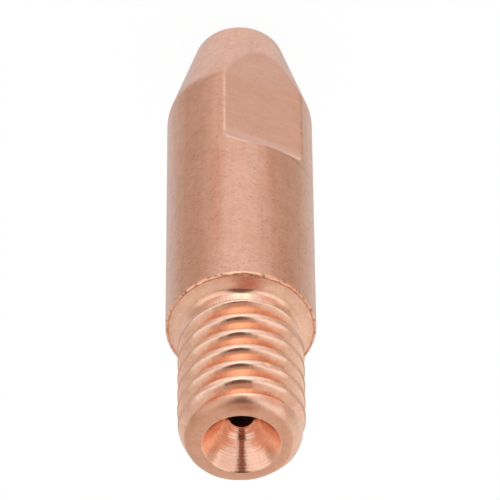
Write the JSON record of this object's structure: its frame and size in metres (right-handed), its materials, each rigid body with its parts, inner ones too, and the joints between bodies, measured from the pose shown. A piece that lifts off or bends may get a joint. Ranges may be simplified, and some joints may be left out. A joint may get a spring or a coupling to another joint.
{
  "type": "welding contact tip",
  "caption": "Turned copper contact tip with a threaded spigot, plain body, tapered nose, wrench flats and a funnelled wire bore.",
  "frame": {"origin": "centre of the nose face, where the wire leaves the bore", "axes": "+Z along the bore from the nose to the threaded end; the tip stands on its nose"},
  "size_m": [0.0094, 0.0094, 0.0371],
  "materials": {
    "copper": "satin turned copper"
  },
  "bodies": {
    "root": {"contact_tip": "copper"}
  },
  "joints": []
}
